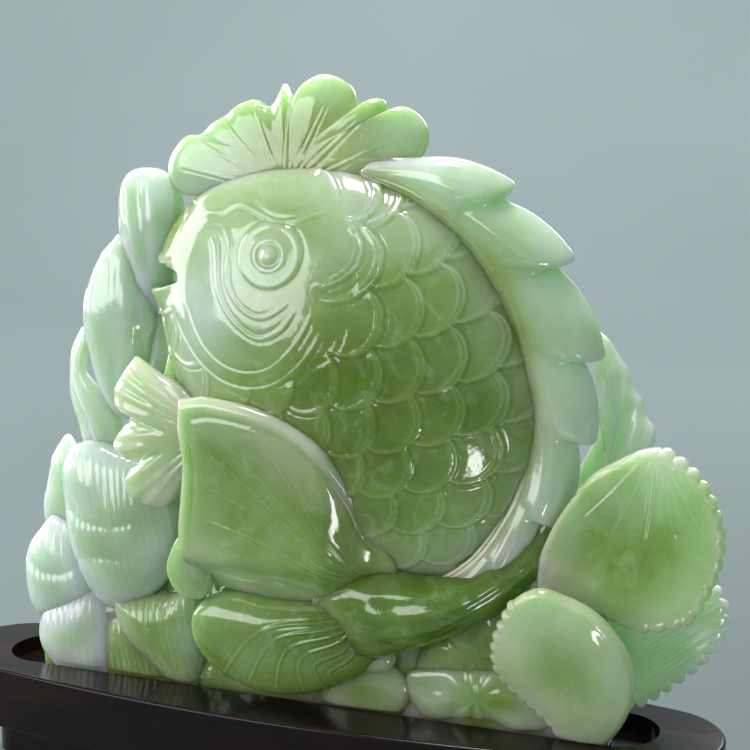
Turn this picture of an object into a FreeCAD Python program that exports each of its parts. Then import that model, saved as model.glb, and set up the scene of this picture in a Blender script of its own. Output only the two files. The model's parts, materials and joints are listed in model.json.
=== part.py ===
import FreeCAD, Part
import math
import os

from FreeCAD import Vector

# A carp curled among lotus leaves, carved from one block of pale green jade, on an oval wooden stand.
# X runs to the viewer's right, -Y points at the viewer, +Z is up. The origin is the middle of the
# stand's underside, on the surface that it stands on.

# Stand
STAND_LENGTH = 300.0
STAND_DEPTH = 75.0
STAND_TOP = 50.0
STAND_END_RADIUS = 25.0
SLAB_THICKNESS = 24.0
SLAB_EDGE_ROUND = 1.2
APRON_HEIGHT = 18.0
APRON_INSET = 15.0
LEG_SPREAD = 98.0
LEG_LENGTH = 36.0
LEG_BACK_GAP = 16.0

# Recess in the slab, and the jade's foot that stands in it
RECESS_LENGTH = 255.0
RECESS_WIDTH = 31.0
RECESS_DEPTH = 6.0
FOOT_GAP = 0.5

# Carp
CARP_HALF_DEPTH = 30.0
MOUTH_HEIGHT = 201.5

SECTION_POINTS = 14
FOOT_Z = STAND_TOP - RECESS_DEPTH
SLAB_Z = STAND_TOP - SLAB_THICKNESS
LEG_HEIGHT = SLAB_Z - APRON_HEIGHT


def closed_curve(points):
    """A smooth closed curve through points, with evenly spaced knots so that lofts match up."""
    knots = [i / len(points) for i in range(len(points) + 1)]
    curve = Part.BSplineCurve()
    curve.interpolate(points, PeriodicFlag=True, Parameters=knots)
    return curve


def seated(shape):
    """The shape cut to stand in the recess, with nothing lower outside it."""
    half_x, half_y = STAND_LENGTH / 2, STAND_DEPTH / 2
    low = FOOT_Z - 60
    around = Part.makeBox(2 * half_x, 2 * half_y, STAND_TOP + FOOT_GAP - low, Vector(-half_x, -half_y, low))
    hole = slot(RECESS_LENGTH - 2 * FOOT_GAP, RECESS_WIDTH - 2 * FOOT_GAP, FOOT_Z, STAND_TOP + 2 * FOOT_GAP)
    cut = shape.cut(around.cut(hole))
    return max(cut.Solids, key=lambda solid: solid.Volume)


def ring_of_arcs(corners):
    """A closed wire of arcs, each given as (start, point on the way, end)."""
    return Part.Wire([Part.Arc(*(Vector(*p) for p in arc)).toShape() for arc in corners])


def oval_plate(inset, z_low, z_high):
    """An upright-sided oval plate of four tangent arcs, set in from the slab's outline."""
    a = STAND_LENGTH / 2 - inset
    b = STAND_DEPTH / 2 - inset
    end_r = STAND_END_RADIUS - inset
    side_r = ((a - end_r) ** 2 + b**2 - end_r**2) / (2 * (b - end_r))
    turn = math.atan2(a - end_r, side_r - b)
    x = (a - end_r) + end_r * math.sin(turn)
    y = end_r * math.cos(turn)
    outline = ring_of_arcs(
        [
            ((x, -y, z_low), (a, 0, z_low), (x, y, z_low)),
            ((x, y, z_low), (0, b, z_low), (-x, y, z_low)),
            ((-x, y, z_low), (-a, 0, z_low), (-x, -y, z_low)),
            ((-x, -y, z_low), (0, -b, z_low), (x, -y, z_low)),
        ]
    )
    return Part.Face(outline).extrude(Vector(0, 0, z_high - z_low))


def slot(length, width, z_low, z_high):
    """A straight slot with round ends, centred on the origin."""
    r = width / 2
    x = length / 2 - r
    edges = [
        Part.LineSegment(Vector(-x, -r, z_low), Vector(x, -r, z_low)).toShape(),
        Part.Arc(Vector(x, -r, z_low), Vector(x + r, 0, z_low), Vector(x, r, z_low)).toShape(),
        Part.LineSegment(Vector(x, r, z_low), Vector(-x, r, z_low)).toShape(),
        Part.Arc(Vector(-x, r, z_low), Vector(-x - r, 0, z_low), Vector(-x, -r, z_low)).toShape(),
    ]
    return Part.Face(Part.Wire(edges)).extrude(Vector(0, 0, z_high - z_low))


def section(a, b, half_thickness, bulge, along):
    """A closed lens-shaped curve from edge a to edge b, square to the way the blade runs."""
    half = (b - a) * 0.5
    normal = half.cross(along).normalize()
    if normal.y > 0:
        normal = -normal
    points = []
    for i in range(SECTION_POINTS):
        angle = 2 * math.pi * i / SECTION_POINTS
        out = bulge * math.sin(angle) ** 2 + half_thickness * math.sin(angle)
        points.append((a + b) * 0.5 - half * math.cos(angle) + normal * out)
    return closed_curve(points)


def skin(curves):
    """A solid whose side runs smoothly through closed curves, with a flat face at each end."""
    poles = [curve.getPoles() for curve in curves]
    steps = [0.0]
    for before, after in zip(poles, poles[1:]):
        steps.append(steps[-1] + sum(p.distanceToPoint(q) for p, q in zip(before, after)))
    rails = []
    for rail_points in zip(*poles):
        rail = Part.BSplineCurve()
        rail.interpolate(list(rail_points), Parameters=steps)
        rails.append(rail)
    side = Part.BSplineSurface()
    side.buildFromPolesMultsKnots(
        [list(row) for row in zip(*(rail.getPoles() for rail in rails))],
        rails[0].getMultiplicities(),
        curves[0].getMultiplicities(),
        rails[0].getKnots(),
        curves[0].getKnots(),
        False,
        True,
        rails[0].Degree,
        curves[0].Degree,
    )
    face = side.toShape()
    ends = [Part.Face(Part.Wire([edge])) for edge in face.Edges if edge.isClosed()]
    shell = Part.Shell([face] + ends)
    shell.sewShape()
    return Part.Solid(shell)


def blade(stations):
    """A carved element through stations (edge a, edge b, half thickness, bulge to the front)."""
    edges = [(Vector(*a), Vector(*b)) for a, b, _, _ in stations]
    middles = [(a + b) * 0.5 for a, b in edges]
    curves = []
    for i, (a, b) in enumerate(edges):
        along = middles[min(i + 1, len(edges) - 1)] - middles[max(i - 1, 0)]
        curves.append(section(a, b, stations[i][2], stations[i][3], along))
    return skin(curves)


def upright(y, rows, bulge=0.0):
    """A blade standing at depth y, in rows (height, left x, right x, half thickness)."""
    return blade([((x0, y, z), (x1, y, z), t, bulge) for z, x0, x1, t in rows])


def lying(y, rows, bulge=0.0):
    """A blade that runs along X at depth y, in rows (x, high z, low z, half thickness)."""
    return blade([((x, y, high), (x, y, low), t, bulge) for x, high, low, t in rows])


def carp_body():
    """The plump body and head, facing left, with the open mouth cut in."""
    d = CARP_HALF_DEPTH
    body = lying(
        0,
        [
            (-60, 206, 196, 0.1 * d),
            (-57, 213, 183, 0.25 * d),
            (-50, 223, 155, 0.47 * d),
            (-38, 233, 129, 0.7 * d),
            (-20, 239.5, 107, 0.88 * d),
            (5, 241, 95, 0.99 * d),
            (30, 236, 91, 0.97 * d),
            (52, 225, 95, 0.85 * d),
            (68, 207, 108, 0.66 * d),
            (79, 186, 126, 0.43 * d),
            (85, 168, 142, 0.22 * d),
            (87, 160, 150, 0.1 * d),
        ],
    )
    mouth = lying(
        0,
        [
            (-64, MOUTH_HEIGHT + 5, MOUTH_HEIGHT - 5, 20),
            (-54, MOUTH_HEIGHT + 3, MOUTH_HEIGHT - 3, 20),
            (-46, MOUTH_HEIGHT + 1, MOUTH_HEIGHT - 1, 20),
        ],
    )
    return body.cut(mouth)


def carp_dorsal_fin():
    return blade(
        [
            ((20, -3, 238), (26, -3, 244), 2.5, 0),
            ((38, -3, 230), (50, -3, 245), 4.5, 1),
            ((52, -3, 219), (70, -3, 237), 5.5, 1),
            ((63, -3, 207), (85, -3, 223), 6, 1),
            ((71, -3, 192), (96, -3, 204), 6, 1),
            ((76, -3, 174), (103, -3, 180), 6, 1),
            ((78, -3, 156), (102, -3, 158), 6, 1),
            ((76, -4, 138), (98, -4, 139), 6, 1),
            ((70, -6, 122), (88, -6, 120), 6, 1),
            ((60, -9, 108), (74, -9, 102), 6, 1),
            ((47, -12, 100), (56, -12, 91), 5, 1),
            ((34, -15, 97), (37, -15, 90), 3, 0),
        ]
    )


def carp_tail_stalk():
    return blade(
        [
            ((87, -2, 128), (95, -2, 124), 4, 0),
            ((76, -5, 114), (91, -5, 110), 8, 0),
            ((62, -9, 104), (78, -9, 95), 12, 0),
            ((48, -13, 102), (58, -13, 82), 14, 0),
            ((34, -18, 104), (39, -18, 74), 13, 0),
            ((22, -22, 106), (22, -21, 66), 9, 0),
            ((14, -25, 104), (12, -22, 62), 6, 0),
        ]
    )


def carp_tail_fin_upper():
    return blade(
        [
            ((35, -26, 106), (27, -24, 82), 3.5, 2),
            ((29, -28, 120), (16, -26, 84), 3.5, 3),
            ((20, -29, 139), (4, -27, 86), 3.2, 3),
            ((8, -30, 152), (-8, -28, 87), 3, 3),
            ((-6, -30, 159), (-20, -28, 88), 3, 3),
            ((-19, -29, 162), (-30, -27, 91), 3, 3),
            ((-30, -28, 163), (-37, -26, 101), 2.8, 2),
            ((-38, -27, 162), (-40, -26, 118), 2.2, 1),
        ]
    )


def carp_tail_fin_middle():
    return upright(
        -22,
        [(118, -37, -34, 2), (108, -44, -30, 4), (99, -47, -30, 5), (91, -46, -32, 4), (86, -41, -36, 2)],
    )


def carp_tail_fin_lower():
    return blade(
        [
            ((30, -22, 88), (24, -17, 62), 6, 0),
            ((12, -25, 87), (8, -17, 57), 6, 1),
            ((-6, -25, 88), (-6, -17, 54), 5.5, 2),
            ((-20, -24, 89), (-20, -17, 54), 5, 2),
            ((-31, -23, 87), (-31, -17, 59), 4, 1),
            ((-38, -21, 82), (-38, -18, 68), 2.5, 0),
        ]
    )


def carp_pectoral_fin(side):
    """The fan of a pectoral fin, with side -1 at the front and 1 at the back."""
    y = 17 * side
    return blade(
        [
            ((-39, y, 160), (-41, y, 126), 7, 0),
            ((-51, y, 166), (-53, y, 117), 6, 1),
            ((-61, y, 171), (-63, y, 119), 5, 1),
            ((-67, y, 166), (-68, y, 126), 4, 1),
            ((-71, y, 157), (-71, y, 138), 2.5, 0),
        ]
    )


def lotus_leaf_top():
    return lying(
        7,
        [
            (-56, 241, 235, 3),
            (-50, 248, 229, 5),
            (-38, 256, 228, 7),
            (-22, 263, 232, 8),
            (-6, 268, 234, 8.5),
            (8, 272, 234, 8.5),
            (20, 265, 234, 8),
            (32, 261, 236, 7),
            (40, 258, 240, 5),
            (43.5, 252, 246, 3),
        ],
    )


def lotus_bud_upper():
    return upright(
        2,
        [
            (237, -68, -59, 3),
            (231, -76, -53, 7),
            (220, -77, -51, 10),
            (208, -75, -53, 10),
            (196, -70, -56, 7),
            (184, -65, -58, 4),
        ],
    )


def lotus_bud_lower():
    return upright(
        0,
        [
            (213, -80, -75, 2),
            (206, -84, -69, 6),
            (195, -89, -62, 9),
            (183, -91, -61, 10),
            (171, -90, -66, 9),
            (159, -86, -70, 7),
            (146, -81, -68, 6),
        ],
    )


def lotus_bud_stem():
    return blade(
        [
            ((-65, 2, 194), (-57, 2, 192), 4, 0),
            ((-66, 2, 178), (-58, 2, 175), 3.5, 0),
            ((-70, 0, 160), (-62, 0, 157), 3.5, 0),
            ((-74, -2, 142), (-64, -2, 140), 5, 0),
        ]
    )


def lotus_leaf_curled():
    return blade(
        [
            ((-94, 0, 178), (-88, 0, 176), 2.5, 0),
            ((-98, 0, 170), (-91, 0, 169), 3, 0),
            ((-99, 0, 161), (-92.5, 0, 162), 3.5, 0),
            ((-99, 0, 152), (-87, 0, 156), 4, 1),
            ((-96, 0, 142), (-80, 0, 148), 5, 1),
            ((-93, 0, 130), (-75, 0, 138), 6, 0),
        ]
    )


def lotus_petal_tip_left():
    return upright(
        6,
        [
            (135, -108, -103, 3),
            (127, -111, -99, 6),
            (117, -114, -95, 7),
            (105, -115, -90, 8),
            (93, -110, -86, 7),
        ],
    )


def lotus_petal_front():
    return upright(
        -6,
        [
            (137, -94, -74, 4),
            (130, -97, -62, 8),
            (118, -98, -54, 11),
            (104, -95, -48, 12),
            (90, -90, -48, 11),
            (79, -85, -56, 9),
            (71, -81, -70, 5),
        ],
    )


def lotus_petal_left():
    return upright(
        0,
        [
            (105, -112, -104, 5),
            (96, -117, -95, 9),
            (86, -119.5, -88, 12),
            (76, -119.5, -86, 12),
            (67, -116, -88, 10),
        ],
    )


def lotus_petal_foot_left():
    petal = upright(
        -3,
        [
            (80, -96, -86, 5),
            (71, -110, -82, 10),
            (61, -112.5, -78, 12),
            (52, -110, -76, 11.5),
            (42, -101, -78, 10),
        ],
    )
    return seated(petal)


def lotus_petal_foot_middle():
    petal = upright(
        -9,
        [(84, -60, -42, 4), (78, -78, -40, 8), (68, -74, -40, 9), (58, -66, -42, 8), (48, -56, -44, 5)],
    )
    return seated(petal)


def lotus_petal_foot_behind():
    petal = upright(-6, [(72, -80, -64, 5), (62, -83, -60, 8), (52, -84, -52, 9), (42, -80, -50, 8.5)])
    return seated(petal)


def rock_base():
    """The uncarved ground of the block, cut flat where it stands in the recess."""
    ground = lying(
        0,
        [
            (-110, 62, 38, 8),
            (-96, 76, 30, 11),
            (-74, 84, 26, 12),
            (-46, 90, 26, 12),
            (-16, 92, 26, 12),
            (16, 90, 26, 12),
            (46, 86, 26, 12),
            (72, 88, 26, 12),
            (94, 80, 30, 11),
            (109, 64, 38, 8),
        ],
    )
    return seated(ground)


def lotus_leaf_foot():
    leaf = upright(-11, [(70, 14, 30, 2), (65, 8, 38, 4), (58, 6, 41, 4.5), (51, 8, 40, 4), (45, 14, 34, 3)])
    return seated(leaf)


def lotus_seed_pod():
    return upright(-16, [(75, 26, 33, 2), (71, 23, 36, 4), (66, 24, 35, 3.5)])


def lotus_leaf_flat():
    return lying(
        -11,
        [(40, 64, 52, 3), (52, 68, 51.5, 4), (66, 69, 51.5, 4.5), (80, 70, 51.5, 4), (92, 66, 52, 3)],
    )


def lotus_leaf_under_tail():
    return upright(
        -4,
        [(96, 66, 84, 6), (86, 54, 82, 8), (76, 44, 80, 9), (66, 38, 78, 9), (58, 40, 76, 8)],
    )


def lotus_leaf_right():
    return lying(
        -8,
        [
            (88, 114, 98, 6),
            (95, 127, 97, 5),
            (104, 139, 97, 4),
            (113, 149, 93, 3.5),
            (122, 153.5, 91, 3.5),
            (131, 153, 91, 3.5),
            (138, 148, 94, 3.5),
            (144, 139, 101, 3),
            (147.5, 129, 114, 2.5),
        ],
        bulge=3,
    )


def lotus_leaf_front_right():
    leaf = blade(
        [
            ((88, -22, 107), (97, -22, 107), 3, 0),
            ((80, -23, 99), (106, -23, 99), 5, 2),
            ((75, -23, 89), (116, -23, 89), 6, 3),
            ((72.5, -22, 79), (121, -22, 79), 6, 3),
            ((75, -20, 70), (122, -20, 70), 6, 3),
            ((81, -17, 61), (121, -17, 61), 5.5, 2),
            ((88, -13, 53), (117, -13, 53), 4, 1),
            ((95, -11, 46), (111, -11, 46), 2.5, 0),
        ]
    )
    return seated(leaf)


def lotus_leaf_back_right():
    return lying(
        13,
        [
            (88, 100, 60, 5),
            (104, 104, 55, 4),
            (118, 106, 56, 3.5),
            (128, 106, 64, 3.5),
            (138, 105, 73, 3),
            (145, 99, 83, 2.5),
        ],
    )


def lotus_leaf_tall():
    return upright(
        12,
        [
            (187, 98.5, 102, 1.5),
            (178, 100, 107, 3),
            (168, 101, 112.5, 4),
            (158, 101, 117, 4),
            (151, 99, 120, 4),
            (142, 94, 112, 4.5),
            (128, 88, 106, 5),
            (110, 84, 104, 6),
        ],
    )


def lotus_stem_right():
    return upright(
        0,
        [
            (126, 86, 99, 6),
            (114, 82, 103, 10),
            (100, 78, 106, 13),
            (84, 76, 108, 14),
            (68, 74, 110, 13),
            (54, 76, 108, 12),
        ],
    )


def lotus_leaf_rear():
    """The leaf that carries the back of the carp."""
    return blade(
        [
            ((-46, 20, 128), (40, 20, 128), 4, 0),
            ((-58, 22, 112), (52, 22, 112), 6, 0),
            ((-62, 21, 94), (58, 21, 94), 7, 0),
            ((-58, 18, 76), (56, 18, 76), 7, 0),
            ((-46, 13, 60), (46, 13, 60), 5, 0),
        ]
    )


def stand_top():
    """The oval slab, with the recess that the jade stands in."""
    slab = oval_plate(0, SLAB_Z, STAND_TOP)
    slab = slab.makeFillet(SLAB_EDGE_ROUND, slab.Edges)
    return slab.cut(slot(RECESS_LENGTH, RECESS_WIDTH, FOOT_Z, STAND_TOP + 1))


def stand_apron():
    return oval_plate(APRON_INSET, LEG_HEIGHT, SLAB_Z)


def stand_leg(side_x, side_y):
    """A short bracket leg: a piece of the apron's outline, carried down to the floor."""
    corner = Vector(LEG_SPREAD - LEG_LENGTH / 2, LEG_BACK_GAP / 2, 0)
    block = Part.makeBox(LEG_LENGTH, STAND_DEPTH, LEG_HEIGHT, corner)
    if side_x < 0:
        block = block.mirror(Vector(0, 0, 0), Vector(1, 0, 0))
    if side_y < 0:
        block = block.mirror(Vector(0, 0, 0), Vector(0, 1, 0))
    return oval_plate(APRON_INSET, 0, LEG_HEIGHT).common(block)


SUB_PARTS = {
    "carp_body": carp_body(),
    "carp_dorsal_fin": carp_dorsal_fin(),
    "carp_tail_stalk": carp_tail_stalk(),
    "carp_tail_fin_upper": carp_tail_fin_upper(),
    "carp_tail_fin_middle": carp_tail_fin_middle(),
    "carp_tail_fin_lower": carp_tail_fin_lower(),
    "carp_pectoral_fin_front": carp_pectoral_fin(-1),
    "carp_pectoral_fin_back": carp_pectoral_fin(1),
    "lotus_leaf_top": lotus_leaf_top(),
    "lotus_bud_upper": lotus_bud_upper(),
    "lotus_bud_lower": lotus_bud_lower(),
    "lotus_bud_stem": lotus_bud_stem(),
    "lotus_leaf_curled": lotus_leaf_curled(),
    "lotus_petal_front": lotus_petal_front(),
    "lotus_petal_tip_left": lotus_petal_tip_left(),
    "lotus_petal_left": lotus_petal_left(),
    "lotus_petal_foot_left": lotus_petal_foot_left(),
    "lotus_petal_foot_middle": lotus_petal_foot_middle(),
    "lotus_petal_foot_behind": lotus_petal_foot_behind(),
    "lotus_leaf_foot": lotus_leaf_foot(),
    "lotus_seed_pod": lotus_seed_pod(),
    "lotus_leaf_flat": lotus_leaf_flat(),
    "lotus_leaf_under_tail": lotus_leaf_under_tail(),
    "lotus_leaf_right": lotus_leaf_right(),
    "lotus_leaf_front_right": lotus_leaf_front_right(),
    "lotus_leaf_back_right": lotus_leaf_back_right(),
    "lotus_leaf_tall": lotus_leaf_tall(),
    "lotus_stem_right": lotus_stem_right(),
    "lotus_leaf_rear": lotus_leaf_rear(),
    "rock_base": rock_base(),
    "stand_top": stand_top(),
    "stand_apron": stand_apron(),
    "stand_leg_front_left": stand_leg(-1, -1),
    "stand_leg_front_right": stand_leg(1, -1),
    "stand_leg_back_left": stand_leg(-1, 1),
    "stand_leg_back_right": stand_leg(1, 1),
}

os.makedirs("parts", exist_ok=True)
for name, shape in SUB_PARTS.items():
    shape.exportStep(f"parts/{name}.step")
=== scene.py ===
import json
import math

import bpy
import numpy as np
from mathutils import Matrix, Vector


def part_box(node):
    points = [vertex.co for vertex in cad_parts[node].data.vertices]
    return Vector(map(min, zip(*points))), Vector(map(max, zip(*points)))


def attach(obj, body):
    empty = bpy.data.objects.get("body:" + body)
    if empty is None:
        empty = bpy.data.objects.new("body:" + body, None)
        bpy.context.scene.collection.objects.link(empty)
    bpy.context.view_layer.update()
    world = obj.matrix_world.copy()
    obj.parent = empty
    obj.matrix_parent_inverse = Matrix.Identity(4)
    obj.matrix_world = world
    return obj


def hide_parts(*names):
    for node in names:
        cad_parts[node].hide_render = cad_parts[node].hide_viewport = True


# A carp curled among lotus leaves, carved from one block of pale green jade, on a dark wooden stand.
# X runs to the viewer's right, -Y points at the viewer, +Z is up. Tables are in millimetres.

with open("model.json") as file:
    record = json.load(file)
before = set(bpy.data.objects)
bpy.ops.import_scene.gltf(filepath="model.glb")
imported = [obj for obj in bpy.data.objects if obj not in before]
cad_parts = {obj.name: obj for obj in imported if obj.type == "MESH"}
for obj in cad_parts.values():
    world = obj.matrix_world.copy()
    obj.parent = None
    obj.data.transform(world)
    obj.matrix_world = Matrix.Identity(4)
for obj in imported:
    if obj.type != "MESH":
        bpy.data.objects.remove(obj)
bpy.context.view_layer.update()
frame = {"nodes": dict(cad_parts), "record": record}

MM = 0.001
JADE = "jade_carving"
STAND_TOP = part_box("stand_top")[1].z / MM
FOOT_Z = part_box("rock_base")[0].z / MM
FOOT_HALF_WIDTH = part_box("rock_base")[1].y / MM
MOUTH_Z = 201.5
MOUTH_X = -45.0
HEAD_CENTRE = (-12.0, 204.0)
HEAD_RADIUS = 37.0
EYE = (-6.5, 212.0)
SCALE_RADIUS = 12.2
TIP_AHEAD = 11.6
TIP_BELOW = 2.5
SLAB_CLEARANCE = 0.6
RECESS_CLEARANCE = 0.05


# ---- curves and grids ----

CAP_RINGS = 8


def smooth(rows, count, corners=(), closed=False):
    """Rows of numbers filled in to count rows along a smooth curve, with sharp turns at the corners.

    Distances along it come from the first six columns: a point, or both edges of a blade."""
    rows = np.asarray(rows, float)
    size = len(rows)
    if closed:
        rows = np.vstack([rows[-2:], rows, rows[:3]])
        corners = [c + 2 for c in corners] + [c + 2 + size for c in corners if c < 3]
    steps = np.concatenate([[0.0], np.cumsum(np.linalg.norm(np.diff(rows[:, :6], axis=0), axis=1))])
    leaving = np.gradient(rows, steps, axis=0)
    arriving = leaving.copy()
    for c in corners:
        arriving[c] = (rows[c] - rows[c - 1]) / (steps[c] - steps[c - 1])
        leaving[c] = (rows[c + 1] - rows[c]) / (steps[c + 1] - steps[c])
    if closed:
        at = np.linspace(steps[2], steps[2 + size], count, endpoint=False)
    else:
        at = np.linspace(0, steps[-1], count)
    i = np.clip(np.searchsorted(steps, at, side="right") - 1, 0, len(steps) - 2)
    h = (steps[i + 1] - steps[i])[:, None]
    s = (at - steps[i])[:, None] / h
    return (
        rows[i] * (1 + 2 * s) * (1 - s) ** 2
        + leaving[i] * h * s * (1 - s) ** 2
        + rows[i + 1] * s * s * (3 - 2 * s)
        + arriving[i + 1] * h * s * s * (s - 1)
    )


def ramp(value, low, high):
    """0 below low, 1 above high, and a smooth rise between."""
    s = np.clip((value - low) / (high - low), 0, 1)
    return s * s * (3 - 2 * s)


def bump(distance, width):
    """A round ridge: 1 at no distance, and near 0 past twice the width."""
    return np.exp(-((distance / width) ** 2))


def ripple(grid, size, seed):
    """Smooth unevenness between about -1 and 1, with swells of that size."""
    waves = 6
    usual_peak = 3.5
    rng = np.random.default_rng(seed)
    total = 0.0
    for _ in range(waves):
        way = rng.normal(size=3)
        way *= 2 * math.pi / (size * rng.uniform(0.7, 1.6) * np.linalg.norm(way))
        total = total + np.sin(grid @ way + rng.uniform(0, 2 * math.pi))
    return total / usual_peak


def line_gap(grid, points):
    """How far each place of a grid is from a smooth line in the XZ plane, and how far along it is."""
    reach = 5.0
    samples = 60
    too_far = 99.0
    line = smooth(points, samples)
    x, z = grid[..., 0], grid[..., 2]
    gap = np.full(x.shape, too_far)
    along = np.zeros(x.shape)
    low, high = line.min(0) - reach, line.max(0) + reach
    near = (x > low[0]) & (x < high[0]) & (z > low[1]) & (z < high[1])
    place = np.stack([x[near], z[near]], -1)
    best = np.full(len(place), too_far)
    part = np.zeros(len(place))
    for k, (start, end) in enumerate(zip(line, line[1:])):
        edge = end - start
        s = np.clip((place - start) @ edge / (edge @ edge), 0, 1)
        d = np.linalg.norm(place - start - s[:, None] * edge, axis=1)
        closer = d < best
        best[closer] = d[closer]
        part[closer] = (k + s[closer]) / (samples - 1)
    gap[near] = best
    along[near] = part
    return gap, along


def cut_line(grid, points, height=0.5, width=0.55):
    """A carved line: a fine ridge with a shallow groove on each side, fading out at its ends."""
    fade_share = 0.12
    groove_depth = 0.55
    groove_offset = 2.1 * width
    gap, along = line_gap(grid, points)
    fade = ramp(along, 0.0, fade_share) * ramp(1 - along, 0.0, fade_share)
    return fade * height * (bump(gap, width) - groove_depth * bump(gap - groove_offset, width))


def normals(grid):
    """Outward directions of a closed grid, whose columns run right round it."""
    down = np.gradient(grid, axis=0)
    across = np.roll(grid, -1, axis=1) - np.roll(grid, 1, axis=1)
    out = np.cross(across, down)
    out[0] = out[1].mean(0)
    out[-1] = out[-2].mean(0)
    out /= np.linalg.norm(out, axis=2, keepdims=True) + 1e-12
    middle = grid.mean(1, keepdims=True)
    if ((grid - middle) * out)[2:-2].sum() < 0:
        out = -out
    return out


def raised(grid, height):
    """The grid moved out along its own normals."""
    return grid + normals(grid) * height[..., None]


def seated(grid):
    """The grid kept clear of the slab: what is below its top goes straight down into the recess."""
    grid = grid.copy()
    low = grid[..., 2] < STAND_TOP + SLAB_CLEARANCE
    grid[..., 1][low] = np.clip(grid[..., 1][low], -FOOT_HALF_WIDTH, FOOT_HALF_WIDTH)
    grid[..., 2] = np.maximum(grid[..., 2], FOOT_Z + RECESS_CLEARANCE)
    return grid


def ring_angles(around):
    """Angles round a section, closer together on the front half and near the middle of each half."""
    front_share = 0.62
    crowding = 0.2
    front = round(around * front_share)
    angles = np.concatenate(
        [
            np.linspace(0, math.pi, front, endpoint=False),
            np.linspace(math.pi, 2 * math.pi, around - front, endpoint=False),
        ]
    )
    return angles + crowding * np.sin(2 * angles)


def blade(stations, along, around, cap=2.0, edge=1.0):
    """A carved bar or blade through stations (edge a, edge b, half thickness, bulge), round at its ends.

    Gives the grid, and for each point its place along and across, from -1 at edge a to 1 at edge b."""
    flat = [(*a, *b, t, bulge) for a, b, t, bulge in stations]
    rows = smooth(flat, along)
    middle = (rows[:, 0:3] + rows[:, 3:6]) / 2
    half = (rows[:, 3:6] - rows[:, 0:3]) / 2
    run = np.gradient(middle, axis=0)
    normal = np.cross(half, run)
    normal /= np.linalg.norm(normal, axis=1, keepdims=True)
    normal[normal[:, 1] > 0] *= -1
    run /= np.linalg.norm(run, axis=1, keepdims=True)
    place = np.linspace(0, 1, along)[:, None]
    turn = np.linspace(0, math.pi / 2, CAP_RINGS + 1)[1:, None]
    shrink = np.cos(turn)
    push = np.sin(turn) * cap

    def with_caps(values, scale=np.ones((CAP_RINGS, 1)), start_shift=0.0, end_shift=0.0):
        """The values with the rows of the two round ends put before and after them."""
        start = values[0] * scale + start_shift
        end = values[-1] * scale + end_shift
        return np.vstack([start[::-1], values, end])

    middle = with_caps(middle, start_shift=-run[0] * push, end_shift=run[-1] * push)
    half = with_caps(half, shrink)
    depth = with_caps(rows[:, 6:8], shrink)
    normal = with_caps(normal)
    place = with_caps(place)
    angle = ring_angles(around)
    sine = np.sign(np.sin(angle)) * np.abs(np.sin(angle)) ** edge
    out = depth[:, 1:2] * np.sin(angle) ** 2 + depth[:, 0:1] * sine
    grid = middle[:, None] - half[:, None] * np.cos(angle)[None, :, None] + normal[:, None] * out[..., None]
    u = np.repeat(place, around, axis=1)
    v = np.repeat(-np.cos(angle)[None, :], len(place), axis=0)
    return grid, u, v


def lying(rows):
    """Stations of a blade running along X at y 0, from rows (x, high z, low z, half thickness)."""
    return [((x, 0, high), (x, 0, low), thick, 0) for x, high, low, thick in rows]


def fan(outline, root, depth, thick, rings, around, corners=(), full=0.7, back=None, teeth=None):
    """A leaf or petal with that outline in the XZ plane, spreading from a root inside it.

    depth(x, z, r) is where its middle layer lies, and thick its half thickness at the root.
    teeth is (first, last, count, size): round teeth over part of the rim, from share first to last.
    Gives the grid, and for each point its share r of the way from root to rim."""
    rim = smooth(outline, around, corners, closed=True)
    turn = np.linspace(0, math.pi, rings)
    r = np.sin(turn)[:, None] * np.ones(around)
    side = np.cos(turn)
    out = rim - np.asarray(root)
    tooth = np.zeros(out.shape)
    if teeth:
        first, last, count, size = teeth
        share = (np.arange(around) / around - first) / (last - first)
        bite = (np.abs(np.sin(share * math.pi * count)) ** 0.7 - 0.6) * size * (share > 0) * (share < 1)
        tooth = out / np.linalg.norm(out, axis=1, keepdims=True) * bite[:, None]
    near_rim = ramp(r, 0.86, 1.0)
    x = root[0] + out[:, 0] * r + tooth[:, 0] * near_rim
    z = root[1] + out[:, 1] * r + tooth[:, 1] * near_rim
    swell = np.where(side > 0, thick, thick if back is None else back)
    y = depth(x, z, r) - (swell * np.sign(side) * np.abs(side) ** full)[:, None]
    return np.stack([x, y, z], -1), r


def at_depth(y, lean=0.0, cup=0.0, root=(0.0, 0.0)):
    """A middle layer at depth y, leaning back by lean for each step up, its rim brought forward by cup."""

    def depth(x, z, r):
        return y + lean * (z - root[1]) - cup * r * r

    return depth


# ---- meshes ----

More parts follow.
